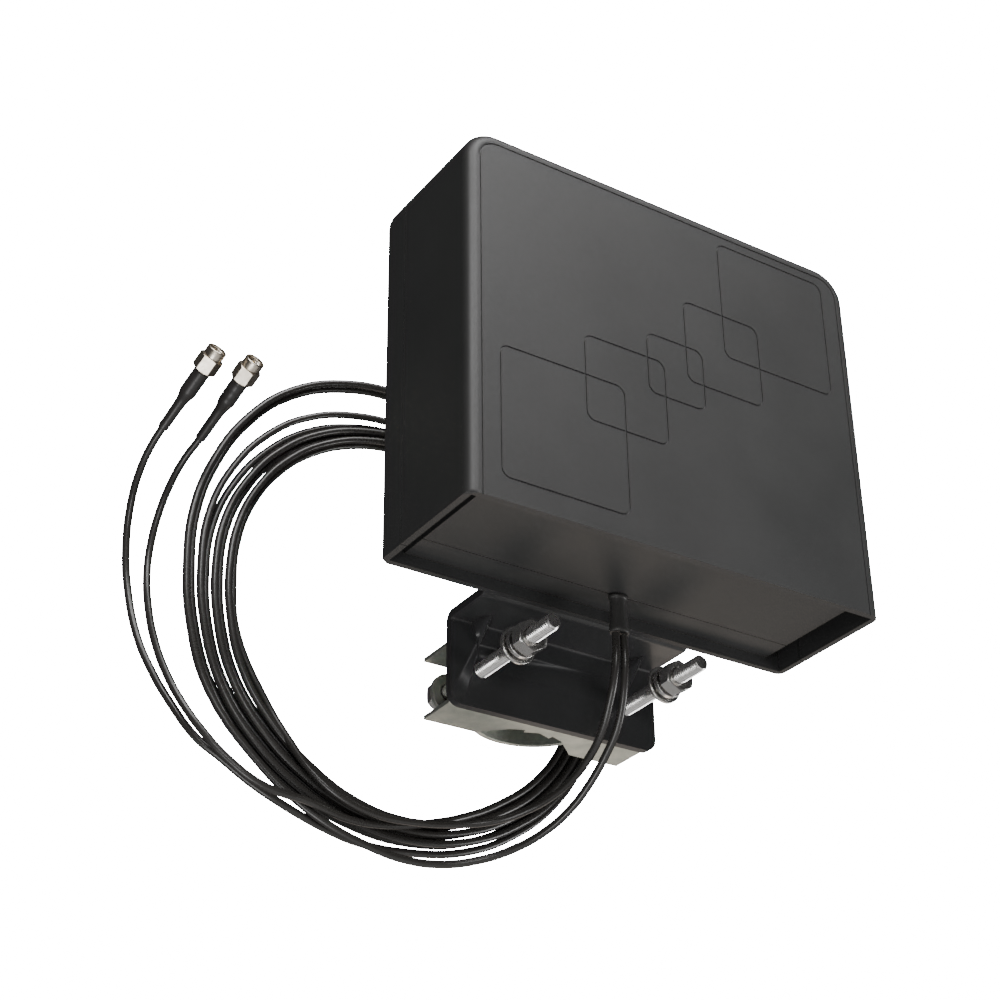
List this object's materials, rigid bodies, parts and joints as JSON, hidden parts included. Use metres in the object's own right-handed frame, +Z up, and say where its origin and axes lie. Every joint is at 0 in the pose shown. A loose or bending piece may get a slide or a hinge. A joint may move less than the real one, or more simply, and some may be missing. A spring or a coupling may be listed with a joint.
{
  "type": "panel antenna with mast clamp and leads",
  "caption": "Flat outdoor panel antenna in a two-part housing on a bent bracket with a toothed mast clamp; two thin coaxial leads hang coiled behind it and end in screw-on plugs.",
  "frame": {"origin": "on the mast's axis, at the mid-height of the clamp", "axes": "+Z up along the mast; the panel's front faces -Y; +X is on the right of someone who looks at that front"},
  "size_m": [0.2315, 0.1462, 0.2279],
  "materials": {
    "black_plastic": "matte, moulded",
    "black_rubber": "matte",
    "black_painted_steel": "satin black paint",
    "zinc_plated_steel": "dull zinc plating",
    "bright_steel": "bright plated",
    "cable_jacket": "satin",
    "aluminium": "sheet",
    "circuit_laminate": "laminate",
    "brass": "turned",
    "nickel_plate": "warm nickel plating",
    "gold_plate": "gold plating",
    "strap_webbing": "woven"
  },
  "bodies": {
    "antenna": {"bracket_nut_1": "bright_steel", "bracket_nut_2": "bright_steel", "bracket_nut_3": "bright_steel", "bracket_nut_4": "bright_steel", "bracket_screw_1": "bright_steel", "bracket_screw_2": "bright_steel", "bracket_screw_3": "bright_steel", "bracket_screw_4": "bright_steel", "cable_boot": "black_rubber", "cable_coil": "cable_jacket", "cable_hook": "black_painted_steel", "clamp_jaw": "zinc_plated_steel", "coil_strap": "strap_webbing", "cover_screw_1": "bright_steel", "cover_screw_2": "bright_steel", "cover_screw_3": "bright_steel", "cover_screw_4": "bright_steel", "cover_seal": "black_rubber", "feed_cable_a": "cable_jacket", "feed_cable_b": "cable_jacket", "front_cover": "black_plastic", "lead_a": "cable_jacket", "lead_b": "cable_jacket", "mast_bracket": "black_painted_steel", "plug_body_a": "nickel_plate", "plug_body_b": "nickel_plate", "plug_pin_a": "gold_plate", "plug_pin_b": "gold_plate", "radiator_board_left": "circuit_laminate", "radiator_board_right": "circuit_laminate", "rear_cover": "black_plastic", "reflector_plate": "aluminium", "shrink_sleeve_a": "black_rubber", "shrink_sleeve_b": "black_rubber", "standoff_left_high": "brass", "standoff_left_low": "brass", "standoff_right_high": "brass", "standoff_right_low": "brass", "tail_a": "cable_jacket", "tail_b": "cable_jacket"},
    "saddle": {"clamp_saddle": "zinc_plated_steel", "clamp_bolt_left": "bright_steel", "clamp_bolt_right": "bright_steel"},
    "washers_left": {"flat_washer_left": "bright_steel", "spring_washer_left": "bright_steel"},
    "washers_right": {"flat_washer_right": "bright_steel", "spring_washer_right": "bright_steel"},
    "nut_left": {"clamp_nut_left": "bright_steel"},
    "nut_right": {"clamp_nut_right": "bright_steel"},
    "coupling_a": {"plug_nut_a": "nickel_plate"},
    "coupling_b": {"plug_nut_b": "nickel_plate"}
  },
  "joints": [
    {"name": "clamp_slide", "type": "slide", "parent": "antenna", "child": "saddle", "axis": [0, 1, 0], "range_m": [0, 0.006]},
    {"name": "washers_left_slide", "type": "slide", "parent": "saddle", "child": "washers_left", "axis": [0, 1, 0], "range_m": [-0.008, 0.01199]},
    {"name": "washers_right_slide", "type": "slide", "parent": "saddle", "child": "washers_right", "axis": [0, 1, 0], "range_m": [-0.008, 0.01199]},
    {"name": "nut_left_spin", "type": "hinge", "parent": "washers_left", "child": "nut_left", "pos_m": [-0.0314, -0.054, 0.001], "axis": [0, 1, 0], "range_deg": [-2880, 4320]},
    {"name": "nut_right_spin", "type": "hinge", "parent": "washers_right", "child": "nut_right", "pos_m": [0.0314, -0.054, 0.001], "axis": [0, 1, 0], "range_deg": [-2880, 4320]},
    {"name": "coupling_a_spin", "type": "hinge", "parent": "antenna", "child": "coupling_a", "pos_m": [-0.1369, -0.006, 0.1004], "axis": [0.162, -0.8361, 0.5241], "continuous": true},
    {"name": "coupling_b_spin", "type": "hinge", "parent": "antenna", "child": "coupling_b", "pos_m": [-0.1233, -0.009, 0.0991], "axis": [0.122, -0.8821, 0.455], "continuous": true}
  ],
  "couplings": [
    {"joint": "nut_left_spin", "follows": "washers_left_slide", "rad_per_m": 6283.2},
    {"joint": "nut_right_spin", "follows": "washers_right_slide", "rad_per_m": 6283.2}
  ]
}
